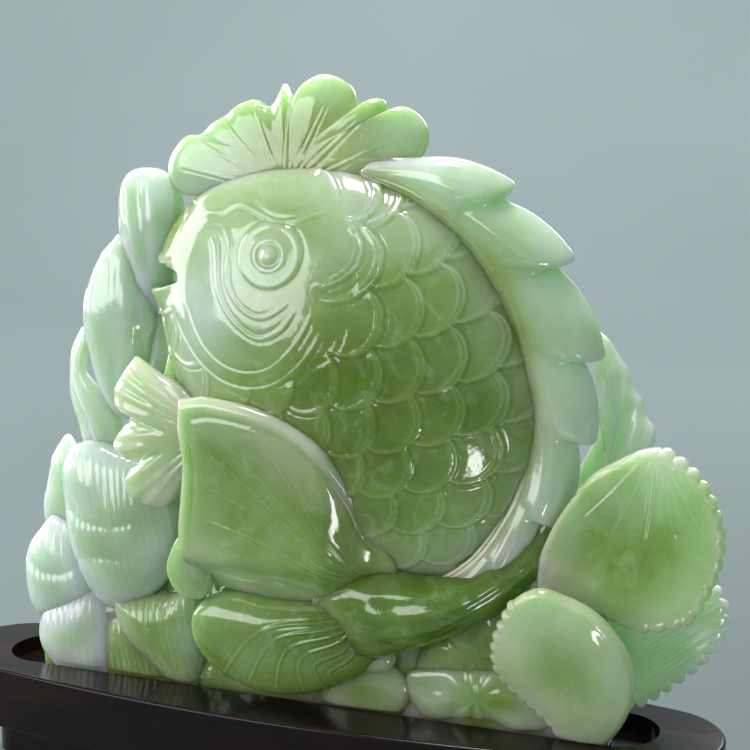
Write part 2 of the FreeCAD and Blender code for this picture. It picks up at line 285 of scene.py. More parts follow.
def mesh_piece(node, grid, tone, warmth=0.0):
    """A closed jade mesh that stands for a CAD node; the grid's first and last rows close on one point.

    tone is how deep the green is, from 0 to 1, with painted highlight and painted light in it on the carp's
    body, and warmth how yellow: numbers, or one for each point."""
    rows, columns = grid.shape[:2]
    points = np.vstack([grid[0].mean(0)[None], grid[1:-1].reshape(-1, 3), grid[-1].mean(0)[None]]) * MM
    ring = 1 + np.arange((rows - 2) * columns).reshape(rows - 2, columns)
    right = np.roll(ring, -1, axis=1)
    quads = np.stack([ring[:-1], right[:-1], right[1:], ring[1:]], -1).reshape(-1, 4)
    last = len(points) - 1
    first_fan = [(0, int(b), int(a)) for a, b in zip(ring[0], right[0])]
    last_fan = [(last, int(a), int(b)) for a, b in zip(ring[-1], right[-1])]
    corner = points[quads]
    volume = np.einsum("ij,ij->i", corner[:, 0], np.cross(corner[:, 1], corner[:, 2])).sum()
    volume += np.einsum("ij,ij->i", corner[:, 0], np.cross(corner[:, 2], corner[:, 3])).sum()
    faces = quads.tolist() + first_fan + last_fan
    name = node + "_carved"
    mesh = bpy.data.meshes.new(name)
    mesh.from_pydata(points.tolist(), [], faces)
    if volume < 0:
        mesh.flip_normals()
    mesh.shade_smooth()
    for layer_name, value in (("tone", tone), ("warmth", warmth)):
        value = np.broadcast_to(value, grid.shape[:2])
        value = np.concatenate([[value[0].mean()], value[1:-1].ravel(), [value[-1].mean()]])
        layer = mesh.attributes.new(layer_name, "FLOAT", "POINT")
        layer.data.foreach_set("value", value.astype(np.float32))
    mesh.materials.append(jade_material)
    piece = bpy.data.objects.new(name, mesh)
    bpy.context.scene.collection.objects.link(piece)
    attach(piece, JADE)
    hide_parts(node)


# ---- materials ----

class Shader:
    """A material's node tree, with short calls to add and join nodes."""

    def __init__(self, name):
        self.material = bpy.data.materials.new(name)
        self.material.use_nodes = True
        self.tree = self.material.node_tree
        self.tree.nodes.clear()
        self.surface = self.add("ShaderNodeBsdfPrincipled")
        output = self.add("ShaderNodeOutputMaterial")
        self.join(self.surface, "BSDF", output, "Surface")
        self.place = self.add("ShaderNodeTexCoord")

    def add(self, kind, **settings):
        """A new node of that kind, with its settings."""
        node = self.tree.nodes.new(kind)
        for key, value in settings.items():
            setattr(node, key, value)
        return node

    def join(self, source, output, target, socket):
        """Links one node's output to another node's socket."""
        self.tree.links.new(source.outputs[output], target.inputs[socket])

    def noise(self, scale, detail=4.0, roughness=0.5, distortion=0.0, stretch=(1, 1, 1)):
        """Cloudy noise in the object's own space, with swells of about 1 / scale metres."""
        mapping = self.add("ShaderNodeMapping")
        mapping.inputs["Scale"].default_value = stretch
        self.join(self.place, "Object", mapping, "Vector")
        node = self.add("ShaderNodeTexNoise")
        node.inputs["Scale"].default_value = scale
        node.inputs["Detail"].default_value = detail
        node.inputs["Roughness"].default_value = roughness
        node.inputs["Distortion"].default_value = distortion
        self.join(mapping, "Vector", node, "Vector")
        return node

    def ramp(self, source, output, stops):
        """A colour ramp over a value, from (position, colour) stops."""
        node = self.add("ShaderNodeValToRGB")
        self.join(source, output, node, "Fac")
        elements = node.color_ramp.elements
        while len(elements) < len(stops):
            elements.new(0.5)
        for element, (position, colour) in zip(elements, stops):
            element.position = position
            element.color = (*colour, 1.0)
        return node

    def remap(self, source, output, span, target, **settings):
        """A value that runs over span, turned into one that runs over target."""
        node = self.add("ShaderNodeMapRange", **settings)
        self.join(source, output, node, "Value")
        for socket, value in zip(("From Min", "From Max", "To Min", "To Max"), (*span, *target)):
            node.inputs[socket].default_value = value
        return node

    def mix(self, factor, first, second, blend="MIX"):
        """One colour mixed into another; each is a (node, output) pair, or a colour's three numbers."""
        factor_socket, first_socket, second_socket = 0, 6, 7
        node = self.add("ShaderNodeMix", data_type="RGBA", blend_type=blend)
        self.tree.links.new(factor[0].outputs[factor[1]], node.inputs[factor_socket])
        for index, value in ((first_socket, first), (second_socket, second)):
            if isinstance(value[0], float):
                node.inputs[index].default_value = (*value, 1.0)
            else:
                self.tree.links.new(value[0].outputs[value[1]], node.inputs[index])
        return node

    def bump(self, source, output, distance, strength):
        """Fine relief on the surface, from a value."""
        node = self.add("ShaderNodeBump")
        node.inputs["Strength"].default_value = strength
        node.inputs["Distance"].default_value = distance
        self.join(source, output, node, "Height")
        self.join(node, "Normal", self.surface, "Normal")

    def settings(self, **values):
        """Sets the surface's own sockets, named with spaces as underscores."""
        for key, value in values.items():
            self.surface.inputs[key.replace("_", " ")].default_value = value


# The stone from palest to deepest, what warmth multiplies it by, and the colour of its pale threads.
JADE_GREENS = (
    (0.0, (0.70, 0.81, 0.73)),
    (0.25, (0.51, 0.65, 0.42)),
    (0.5, (0.31, 0.46, 0.14)),
    (0.75, (0.17, 0.285, 0.035)),
    (1.0, (0.08, 0.18, 0.018)),
)
JADE_WARM = (1.04, 0.98, 0.58)
JADE_THREAD = (0.62, 0.78, 0.58)
BLACK = (0.0, 0.0, 0.0)
WHITE = (1.0, 1.0, 1.0)


def make_jade():
    """Polished pale green stone: cloudy, deeper green where it is thick, with fine pale threads."""
    shader = Shader("jade")
    # The tone attribute also holds painted highlight and painted light, set on the carp's body.
    tone = shader.add("ShaderNodeAttribute", attribute_name="tone")
    clouds = shader.noise(28.0, detail=5.0, roughness=0.55, distortion=0.6)
    wisps = shader.noise(90.0, detail=6.0, roughness=0.62, distortion=1.8)
    drift = shader.remap(clouds, "Fac", (0.3, 0.7), (-0.18, 0.09))
    shift = shader.add("ShaderNodeMath", operation="ADD")
    shader.join(drift, "Result", shift, 0)
    shader.join(tone, "Fac", shift, 1)
    base = shader.ramp(shift, "Value", JADE_GREENS)
    warmth = shader.add("ShaderNodeAttribute", attribute_name="warmth")
    base = shader.mix((warmth, "Fac"), (base, "Color"), JADE_WARM, blend="MULTIPLY")
    thread = shader.ramp(wisps, "Fac", [(0.52, BLACK), (0.68, WHITE)])
    thread_strength = 0.22
    veil = shader.add("ShaderNodeMath", operation="MULTIPLY")
    shader.join(thread, "Color", veil, 0)
    veil.inputs[1].default_value = thread_strength
    colour = shader.mix((veil, "Value"), (base, "Result"), JADE_THREAD)
    shader.join(colour, "Result", shader.surface, "Base Color")
    polish = shader.noise(160.0, detail=3.0)
    rough = shader.remap(polish, "Fac", (0.0, 1.0), (0.05, 0.12))
    shader.join(rough, "Result", shader.surface, "Roughness")
    swell = shader.noise(220.0, detail=2.0)
    shader.bump(swell, "Fac", 0.0004, 0.35)
    shader.settings(
        Subsurface_Weight=1.0,
        Subsurface_Radius=(0.55, 1.0, 0.38),
        Subsurface_Scale=0.021,
        Subsurface_Anisotropy=0.3,
        IOR=1.60,
        Transmission_Weight=0.15,
        Coat_Weight=0.35,
        Coat_Roughness=0.05,
    )
    return shader.material


def make_wood():
    """Dark, almost black lacquered wood with a fine brown grain along its length."""
    shader = Shader("dark_wood")
    grain = shader.noise(60.0, detail=8.0, roughness=0.65, distortion=0.8, stretch=(0.12, 1.0, 1.0))
    base = shader.ramp(
        grain,
        "Fac",
        [(0.35, (0.005, 0.004, 0.004)), (0.6, (0.020, 0.008, 0.007)), (0.75, (0.045, 0.013, 0.011))],
    )
    shader.join(base, "Color", shader.surface, "Base Color")
    rough = shader.remap(grain, "Fac", (0.0, 1.0), (0.12, 0.26))
    shader.join(rough, "Result", shader.surface, "Roughness")
    shader.bump(grain, "Fac", 0.0002, 0.25)
    shader.settings(IOR=1.45, Specular_IOR_Level=0.26, Coat_Weight=0.06, Coat_Roughness=0.05)
    return shader.material


def make_backdrop():
    """Plain grey-blue paper, its far, upright end painted much lighter as painted light, making up for the
    weaker light that reaches it.
    """
    shader = Shader("backdrop")
    fibre = shader.noise(3.0, detail=2.0)
    # Painted light: the far colour is far brighter than the near one, to stand in for light that falls off up
    # the sheet.
    near = shader.ramp(fibre, "Fac", [(0.3, (0.150, 0.181, 0.183)), (0.7, (0.157, 0.189, 0.192))])
    far = shader.ramp(fibre, "Fac", [(0.3, (0.262, 0.315, 0.320)), (0.7, (0.272, 0.327, 0.332))])
    axes = shader.add("ShaderNodeSeparateXYZ")
    shader.join(shader.place, "Object", axes, "Vector")
    distance = shader.remap(axes, "Y", (0.1, 1.7), (0.0, 1.0), interpolation_type="SMOOTHSTEP")
    base = shader.mix((distance, "Result"), (near, "Color"), (far, "Color"))
    shader.join(base, "Result", shader.surface, "Base Color")
    shader.settings(Roughness=0.9, Specular_IOR_Level=0.1)
    return shader.material


jade_material = make_jade()
wood_material = make_wood()
backdrop_material = make_backdrop()


# ---- the carp ----

def scale_tip(i, j):
    """The tailward tip of the scale in column i, counted to the tail, and row j, counted downwards."""
    x = 48.4 + 12.6 * i + 2.5 * j - 0.5 * i * i + 0.95 * i * j - 1.15 * j * j
    z = 193.3 + 3.75 * i - 19.0 * j + 0.25 * i * i - 0.4 * i * j + 0.55 * j * j
    return x, z


def scale_relief(grid):
    """Overlapping scales, each with a double rim at its free edge: their height, and where the rims are,
    which the body paints paler as a painted highlight.

    A scale is a disc whose centre lies TIP_AHEAD before its tip and TIP_BELOW over it."""
    x, z = grid[..., 0], grid[..., 2]
    height = np.zeros(x.shape)
    pale = np.zeros(x.shape)
    cells = [(i, j) for i in range(-6, 5) for j in range(-3, 7)]
    cells.sort(key=lambda c: -(c[0] + c[1]))
    for i, j in cells:
        tip_x, tip_z = scale_tip(i, j)
        centre_x, centre_z = tip_x - TIP_AHEAD, tip_z + TIP_BELOW
        from_centre = np.hypot(x - centre_x, z - centre_z)
        near = from_centre < SCALE_RADIUS + 2.5
        d, xs, zs = from_centre[near], x[near], z[near]
        inner = np.hypot(xs - centre_x + 2.2, zs - centre_z - 0.4) - SCALE_RADIUS
        groove = 0.32 * bump(d - SCALE_RADIUS - 0.8, 0.6)
        rims = bump(d - SCALE_RADIUS + 0.4, 0.36), bump(inner, 0.36)
        face = 0.08 + 0.22 * (d / SCALE_RADIUS) ** 3 + 0.40 * rims[0] + 0.28 * rims[1]
        inside = ramp(SCALE_RADIUS - d, -0.5, 0.5)
        height[near] = (height[near] - groove) * (1 - inside) + face * inside
        pale[near] = pale[near] * (1 - inside) + np.maximum(*rims) * inside
    behind_head = ramp(np.hypot(x - HEAD_CENTRE[0], z - HEAD_CENTRE[1]), HEAD_RADIUS, HEAD_RADIUS + 2)
    return height * behind_head, pale * behind_head


# The eye's rings, as (radius, width, height): pupil, groove, rim, the swell under them, two outer rings.
EYE_RINGS = (
    (0.0, 2.2, 0.9), (3.6, 0.9, -0.5), (5.0, 0.7, 0.42), (0.0, 8.5, 0.6), (10.2, 0.75, 0.32),
    (11.8, 0.9, -0.35),
)
# The head's carved lines, as (height, width, points): the brow and the fold over it, the outer and inner
# cheek folds, the inner and outer edge of the gill cover, and the jaw.
HEAD_LINES = (
    (0.6, 0.55, [(-36, 225), (-28, 225), (-22, 228), (-14, 226), (-5, 223.5), (4, 224.5), (13, 228)]),
    (0.4, 0.55, [(-16, 231), (-13, 228.5), (-8, 226), (0, 225.5), (8, 227)]),
    (0.42, 0.55, [
        (-34, 219), (-30, 216), (-28, 210), (-27, 203), (-24, 195), (-16, 187), (-9, 184), (-1, 187),
        (6, 196),
    ]),
    (0.38, 0.5, [
        (-33, 221.5), (-26, 220), (-23, 215), (-23, 208), (-22, 201), (-17, 194.5), (-9, 191), (0, 195),
        (4, 199),
    ]),
    (0.28, 0.45, [
        (-41, 196), (-37, 186), (-31, 178), (-23, 173), (-14, 171.5), (-5, 173.5), (2, 179), (8, 187),
        (12, 196),
    ]),
    (0.28, 0.45, [
        (-49, 193), (-42, 182), (-33, 172.5), (-24, 167.5), (-14, 166), (-4, 168), (4, 173), (11, 181),
        (16, 190),
    ]),
    (0.45, 0.8, [(-57, 194), (-53.5, 184), (-49, 172), (-43, 160), (-37, 152)]),
)
# Arcs over the nape, each cut as a strong line with a weaker one beside it.
NAPE_ARCS = (
    [(25, 237), (29, 231), (27, 227), (20, 224)],
    [(32, 236), (35.5, 230), (33, 225), (27, 222)],
    [(22, 223), (26, 217), (25.5, 211), (21, 206), (12.5, 202)],
    [(29, 221), (33.5, 214), (33, 208), (27, 201), (14.5, 197)],
)


def head_relief(grid):
    """The eye in its rings, and the head's carved lines."""
    x, z = grid[..., 0], grid[..., 2]
    eye_stretch = 1.08
    from_eye = np.hypot((x - EYE[0]) / eye_stretch, z - EYE[1])
    height = sum(rise * bump(from_eye - radius, width) for radius, width, rise in EYE_RINGS)
    for rise, width, points in HEAD_LINES:
        height += cut_line(grid, points, rise, width)
    for arc in NAPE_ARCS:
        height += cut_line(grid, arc, 0.8, 0.55)
        height += cut_line(grid, [(a - 2.0, b + 0.6) for a, b in arc], 0.5, 0.5)
    return height


def mouth_shape(grid):
    """The body's front end parted into two lips, the mouth wider towards the front."""
    lip_width = 1.8
    lip_rise = 1.4
    chin_reach = 2.6
    grid = grid.copy()
    x, z = grid[..., 0], grid[..., 2]
    ahead = np.clip(MOUTH_X - x, 0, None)
    opening = 0.8 + 0.28 * ahead
    inside = (1 - ramp(np.abs(z - MOUTH_Z), opening - 0.5, opening + 1.2)) * (ahead > 0)
    grid[..., 0] = x + inside * ahead
    lips = bump(np.abs(z - MOUTH_Z) - opening - lip_width, lip_width) * ramp(ahead, 2, 8)
    grid[..., 1] += np.sign(grid[..., 1]) * lips * lip_rise
    grid[..., 0] -= chin_reach * bump(z - MOUTH_Z + 7.5, 4.0) * ramp(ahead, 7, 13)
    return grid


def carp_body():
    """The plump body and head, facing left."""
    rows = [
        (-60, 206, 196, 3.0),
        (-57, 213, 183, 7.5),
        (-50, 223, 155, 14.1),
        (-38, 233, 129, 21.0),
        (-20, 239.5, 107, 26.4),
        (5, 241, 95, 29.7),
        (30, 236, 91, 29.1),
        (52, 225, 95, 25.5),
        (68, 207, 108, 19.8),
        (79, 186, 126, 12.9),
        (85, 168, 142, 6.6),
        (87, 160, 150, 3.0),
    ]
    grid, _, _ = blade(lying(rows), along=270, around=420, cap=1.5)
    x, z = grid[..., 0], grid[..., 2]
    scales, rims = scale_relief(grid)
    head = head_relief(grid)
    grid = mouth_shape(raised(grid, scales + head + 0.25 * ripple(grid, 30, 3)))
    heart = 1 - ramp(np.hypot((x - 34) / 1.1, z - 158), 5, 68)
    # Painted light: the cheek is made paler where light from the left shines through the thin head.
    cheek = 1 - ramp(np.hypot(x + 31, z - 196), 3, 34)
    snout = ramp(-x, 36, 54)
    # Painted highlight: the scale rims and the raised head lines are made paler, as if they caught glints of
    # light.
    tone = 0.36 + 0.44 * heart - 0.24 * cheek + 0.14 * snout - 0.13 * rims - 0.10 * np.clip(head, 0, 1)
    mesh_piece("carp_body", grid, tone=tone, warmth=0.35 * heart)


LOBE_TIPS = (0.0, 0.21, 0.33, 0.47, 0.59, 0.73, 0.84, 0.95, 1.06)


def lobed_edge(u):
    """Lobes along the dorsal fin: each rises in a round shoulder to 1 at its tip, then drops sharply."""
    phase = np.mod(np.interp(u, LOBE_TIPS, range(len(LOBE_TIPS))), 1.0)
    return (1 - (1 - phase) ** 2.2) * (1 - ramp(phase, 0.86, 1.0))


def carp_dorsal_fin():
    """The fin that runs down the back in overlapping pale lobes."""
    stations = [
        ((20, -3, 238), (26, -3, 244), 2.5, 0),
        ((38, -3, 230), (50, -3, 244), 4.5, 1),
        ((52, -3, 219), (70, -3, 235), 5.5, 1),
        ((63, -3, 207), (84, -3, 221), 6, 1),
        ((71, -3, 192), (95, -3, 203), 6, 1),
        ((76, -3, 174), (101, -3, 179), 6, 1),
        ((78, -3, 156), (100, -3, 158), 6, 1),
        ((76, -4, 138), (96, -4, 139), 6, 1),
        ((70, -6, 122), (87, -6, 120), 6, 1),
        ((60, -9, 108), (73, -9, 102), 6, 1),
        ((47, -12, 100), (56, -12, 91), 5, 1),
        ((34, -15, 97), (37, -15, 90), 3, 0),
    ]
    grid, u, v = blade(stations, along=420, around=150, cap=2.0, edge=1.25)
    outward = (v + 1) / 2
    reach = lobed_edge(u) * ramp(u, 0.02, 0.12) * ramp(1 - u, 0.0, 0.08)
    middle = grid.mean(1, keepdims=True)
    run = np.gradient(middle, axis=0)
    run /= np.linalg.norm(run, axis=2, keepdims=True)
    grid = grid + (grid - middle) * (0.42 * (reach - 0.42) * ramp(outward, 0.45, 1.0))[..., None]
    grid = grid + run * (3.5 * reach * ramp(outward, 0.45, 1.0))[..., None]
    slant = u + 0.045 * (1 - outward)
    height = 1.7 * lobed_edge(slant) * ramp(outward, 0.2, 0.7)
    striations = 0.06 * np.sin(outward * 34 - slant * 90)
    height += striations * ramp(outward, 0.25, 0.5) * (1 - ramp(outward, 0.85, 0.97))
    height += 0.9 * bump(outward - 0.12, 0.04) + 0.5 * bump(outward - 0.2, 0.03)
    grid = raised(grid, height)
    tone = 0.09 + 0.32 * (1 - outward) + 0.06 * ripple(grid, 24, 5)
    warmth = 0.7 * (1 - ramp(outward, 0.15, 0.5))
    mesh_piece("carp_dorsal_fin", grid, tone=tone, warmth=warmth)


def carp_tail_stalk():
    """The narrow end of the body, curling forward under the carp to the tail fin."""
    stations = [
        ((87, -2, 128), (95, -2, 124), 4, 0),
        ((76, -5, 114), (91, -5, 110), 8, 0),
        ((62, -9, 104), (78, -9, 95), 12, 0),
        ((48, -13, 102), (58, -13, 82), 14, 0),
        ((34, -17, 103), (39, -17, 74), 10.5, 0),
        ((22, -18, 102), (23, -18, 70), 8, 0),
        ((10, -18, 96), (10, -18, 72), 5, 0),
    ]
    grid, u, v = blade(stations, along=200, around=160, cap=5.0)
    height = 0.22 * np.sin(v * 13 + 4 * u) * ramp(u, 0.1, 0.3) * ramp(1 - u, 0.0, 0.3)
    height += 0.4 * ripple(grid, 14, 8)
    tone = 0.68 + 0.14 * ramp(grid[..., 0], 10, 60) + 0.08 * ripple(grid, 30, 9)
    mesh_piece("carp_tail_stalk", raised(grid, height), tone=tone)


def carp_tail_fin_upper():
    """The broad upper lobe, dished inside a rounded pale rim, with fine rays from the stalk."""
    outline = [
        (37, 107), (31, 117), (26, 130), (20, 141), (13, 149.5), (3, 155.5), (-8, 159.5), (-19, 161.5),
        (-30, 162.5), (-38, 161), (-38.5, 152), (-37, 140), (-38, 126), (-39.5, 112), (-38, 100), (-30, 92),
        (-16, 88), (2, 86), (20, 84), (32, 84), (38, 94),
    ]
    root = (0.0, 112.0)

    def depth(x, z, r):
        sunk = 14 * ramp(108 - z, 0, 22) + 12 * ramp(x - 12, 0, 22)
        return -28 - 1.5 * r * r + sunk

    grid, r = fan(outline, root, depth, 5.0, 150, 420, corners=[9], full=0.45, back=3.0)
    x, z = grid[..., 0], grid[..., 2]
    angle = np.arctan2(z - 84, 46 - x)
    rim = ramp(z, 104, 124)
    height = (0.7 * bump(r - 0.95, 0.04) - 0.5 * bump(r - 0.88, 0.025)) * rim
    height -= 0.9 * ramp(1 - r, 0.08, 0.4) * rim
    rays = 0.10 * np.sin(angle * 42 + 0.6 * ripple(grid, 30, 13))
    height += rays * ramp(1 - r, 0.12, 0.3) * ramp(18 - x, 0, 20)
    for end in ((-30, 146), (-22, 150), (-32, 134), (-8, 151), (-31, 120)):
        line = [(31, 95), (0.55 * end[0] + 14, 0.5 * end[1] + 52), end]
        height += cut_line(grid, line, 0.22, 0.4)
    grid = raised(grid, height + 0.2 * ripple(grid, 26, 11))
    tone = 0.36 + 0.14 * ramp(1 - r, 0.1, 0.6) + 0.16 * ramp(x, -5, 35) * ramp(135 - z, 0, 40)
    tone += 0.08 * ripple(grid, 30, 12) - 0.12 * bump(r - 0.97, 0.05) * rim
    mesh_piece("carp_tail_fin_upper", grid, tone=tone, warmth=0.3)


def carp_tail_fin_middle():
    """The small lens-shaped lobe at the fin's left edge."""
    outline = [
        (-35, 118), (-40, 113), (-45, 105), (-47, 98), (-45, 91), (-40, 87), (-33, 88), (-29, 96), (-30, 108),
    ]
    grid, r = fan(outline, (-37, 101), at_depth(-24), 5.0, 70, 160, corners=[0], full=0.8)
    grid = raised(grid, 0.5 * bump(r - 0.9, 0.06))
    mesh_piece("carp_tail_fin_middle", grid, tone=0.36)


def carp_tail_fin_lower():
    """The lower lobe, with long engraved arcs fanning out from the stalk."""
    outline = [
        (38, 98), (28, 94), (10, 90), (-8, 89), (-24, 89.5), (-33, 87), (-38.5, 80), (-39, 72),
        (-35, 64), (-27, 57.5), (-17, 54), (-6, 53), (5, 55), (16, 59), (25, 64), (34, 72), (40, 84),
    ]
    root = (2.0, 74.0)

    def depth(x, z, r):
        return -21 - 0.16 * (z - root[1]) + 5 * ramp(z - 80, 0, 13) + 5 * ramp(x - 6, 0, 32)

    grid, r = fan(outline, root, depth, 6.5, 120, 320, full=0.6)
    height = np.zeros(r.shape)
    for k in range(6):
        x_end = -30 + 11.5 * k
        line = [
            (30 - 1.5 * k, 88 - 1.5 * k),
            (14 + 2 * k, 85 - 2.2 * k),
            (0.4 * x_end + 4, 80 - 3 * k),
            (x_end, 55 - k),
        ]
        height += cut_line(grid, line, 0.4, 0.45)
    tone = 0.54 + 0.20 * ramp(grid[..., 0], -30, 20) + 0.08 * ripple(grid, 26, 14)
    mesh_piece("carp_tail_fin_lower", raised(grid, height), tone=tone)


def carp_pectoral_fin(side, name):
    """A small fan of three lobes, with rays from its root at the cheek."""
    outline = [
        (-36, 158), (-44, 163), (-53, 167), (-62, 172.5), (-67, 166), (-70.5, 159), (-69, 153),
        (-64.5, 149.5), (-69, 144), (-71.5, 139), (-68, 135.5), (-62.5, 134), (-66.5, 128), (-66.5, 122),
        (-60, 118), (-51, 118), (-44, 125), (-38, 132), (-34, 145),
    ]
    root = (-46.0, 146.0)
    grid, r = fan(outline, root, at_depth(17 * side), 7.5, 110, 320, corners=[3, 7, 11], full=0.75)
    angle = np.arctan2(grid[..., 2] - 148, -30 - grid[..., 0])
    height = 0.35 * np.sin(angle * 44) * ramp(r, 0.3, 0.55) * ramp(1 - r, 0.0, 0.06)
    for valley in ([(-65, 150), (-55, 149), (-44, 147)], [(-62.5, 134), (-54, 138), (-44, 142)]):
        gap, along = line_gap(grid, valley)
        height -= 1.6 * bump(gap, 1.4) * ramp(1 - along, 0.0, 0.7)
    tone = 0.06 + 0.12 * ramp(1 - r, 0.2, 0.9)
    mesh_piece(name, raised(grid, height), tone=tone, warmth=0.5)


# ---- lotus above and to the left ----

def lotus_leaf_top():
    """The ruffled leaf that lies over the carp's head."""
    outline = [
        (-56, 234), (-56, 240), (-53, 246), (-49, 250), (-44, 251), (-40, 255), (-34, 258), (-29, 261),
        (-23, 263), (-18, 261.5), (-12, 269), (-9, 264), (-4, 269), (2, 272), (8, 271.5), (13, 268.5),
        (16, 260), (20, 263.5), (25, 263), (26, 259), (31, 261.5), (38, 259), (41.5, 255), (42, 250),
        (40, 245), (44, 244), (40, 239), (28, 236), (12, 234), (-8, 233), (-26, 231), (-40, 229), (-50, 229),
    ]
    root = (-8.0, 243.0)
    stalk_z = 232
    middle = at_depth(4, 0.1, 2.0, root)
    grid, r = fan(outline, root, middle, 8.5, 130, 460, corners=[10, 16, 19, 24], full=0.8)
    angle = np.arctan2(grid[..., 2] - stalk_z, grid[..., 0] - root[0])
    height = 0.05 * np.sin(angle * 26) * ramp(r, 0.35, 0.7)
    height += 0.5 * np.sin(angle * 9 + 1) * ramp(r, 0.5, 1.0)
    for k in range(9):
        way = math.radians(14 + 19 * k)
        line = [(root[0] + d * math.cos(way), stalk_z + 0.75 * d * math.sin(way)) for d in (5, 18, 32, 44)]
        height += cut_line(grid, line, 0.12, 0.45)
    heart = bump(np.hypot(grid[..., 0] - 2, grid[..., 2] - 243), 22)
    tone = 0.27 + 0.26 * heart + 0.08 * ripple(grid, 22, 21)
    mesh_piece("lotus_leaf_top", raised(grid, height), tone=tone, warmth=heart)


def lotus_bud_upper():
    """The closed bud beside the carp's mouth, with two soft folds."""
    outline = [
        (-72, 237), (-76, 231), (-77, 222), (-76, 210), (-72, 198), (-66, 186), (-60, 184), (-57, 192),
        (-54, 203), (-52, 213), (-51.5, 224), (-53, 232), (-58, 237), (-65, 238.5),
    ]
    root = (-65.0, 214.0)
    grid, r = fan(outline, root, at_depth(2), 10.0, 90, 220, full=0.9)
    height = np.zeros(r.shape)
    for line in (
        [(-72, 236), (-70, 222), (-66, 206), (-62, 190)],
        [(-63, 238), (-60, 226), (-59, 212), (-60, 196)],
    ):
        height += cut_line(grid, line, 0.7, 2.4)
    height += 0.025 * np.sin(grid[..., 0] * 2.4 + 0.05 * grid[..., 2])
    tone = 0.06 + 0.08 * ripple(grid, 20, 22)
    mesh_piece("lotus_bud_upper", raised(grid, height), tone=tone)


def lotus_bud_lower():
    """The larger closed bud, left of the other, with two soft folds."""
    outline = [
        (-77, 214), (-83, 207), (-88, 199), (-91, 190), (-91.5, 180), (-90, 170), (-88, 161), (-84, 152),
        (-79, 146), (-72, 145), (-67, 152), (-65, 165), (-63.5, 174), (-61, 183), (-61.5, 194), (-66, 204),
        (-72, 211),
    ]
    root = (-77.0, 182.0)
    grid, r = fan(outline, root, at_depth(0), 10.0, 100, 240, corners=[0], full=0.9)
    height = np.zeros(r.shape)
    for line in (
        [(-78, 213), (-84, 196), (-84, 176), (-79, 152)],
        [(-76, 213), (-71, 196), (-70, 176), (-73, 154)],
    ):
        height += cut_line(grid, line, 0.7, 2.8)
    height += 0.025 * np.sin(grid[..., 0] * 2.2)
    tone = 0.10 + 0.08 * ripple(grid, 20, 23)
    mesh_piece("lotus_bud_lower", raised(grid, height), tone=tone)


def lotus_bud_stem():
    """The stem that joins both buds to the flower below."""
    stations = [
        ((-65, 2, 194), (-57, 2, 192), 4, 0),
        ((-66, 2, 178), (-58, 2, 175), 3.5, 0),
        ((-70, 0, 160), (-62, 0, 157), 3.5, 0),
        ((-74, -2, 142), (-64, -2, 140), 5, 0),
    ]
    grid, _, v = blade(stations, along=80, around=48)
    height = 0.25 * np.sin(v * 7) + 0.2 * ripple(grid, 9, 24)
    mesh_piece("lotus_bud_stem", raised(grid, height), tone=0.1)


def lotus_leaf_curled():
    """The narrow leaf at the far left, hollow along its length with a ridge down the middle."""
    stations = [
        ((-94, 0, 178), (-88, 0, 176), 2.5, 0),
        ((-98, 0, 170), (-91, 0, 169), 3, 0),
        ((-99, 0, 161), (-92.5, 0, 162), 3.5, 0),
        ((-99, 0, 152), (-87, 0, 156), 4, 1),
        ((-96, 0, 142), (-80, 0, 148), 5, 1),
        ((-93, 0, 130), (-75, 0, 138), 6, 0),
    ]
    grid, _, v = blade(stations, along=130, around=80)
    height = 1.1 * bump(v, 0.16) - 0.8 * bump(np.abs(v) - 0.45, 0.25)
    mesh_piece("lotus_leaf_curled", raised(grid, height), tone=0.08)


# ---- lotus flower, lower left ----

def petal(name, outline, root, y, thick, seed, shade, corners=(), tiers=(), seat=False):
    """A plump petal with fine upright striations, and tiers where one layer laps over the next."""
    grid, r = fan(outline, root, at_depth(y), thick, 110, 300, corners=corners, full=0.75)
    x, z = grid[..., 0], grid[..., 2]
    lean = x + 0.18 * (z - root[1])
    height = 0.09 * np.sin(lean * 2.3 + ripple(grid, 25, seed)) + 0.045 * np.sin(lean * 4.3)
    height *= ramp(1 - r, 0.0, 0.08)
    height += 0.5 * ripple(grid, 18, seed + 1)
    for tier in tiers:
        line = smooth(tier, 60)
        edge = np.interp(x, line[:, 0], line[:, 1])
        below = edge - z
        within = ramp(x, tier[0][0] - 1, tier[0][0] + 5) * (1 - ramp(x, tier[-1][0] - 5, tier[-1][0] + 1))
        lap = 0.7 * ramp(below, -1.2, 3.6) * bump(np.clip(below, 0, None), 13)
        height += within * (lap - 0.3 * bump(below + 1.4, 1.6))
    grid = raised(grid, height)
    if seat:
        grid = seated(grid)
    tone = shade + 0.22 * ramp(1 - r, 0.1, 0.9) + 0.08 * ripple(grid, 22, seed + 2)
    mesh_piece(name, grid, tone=tone)


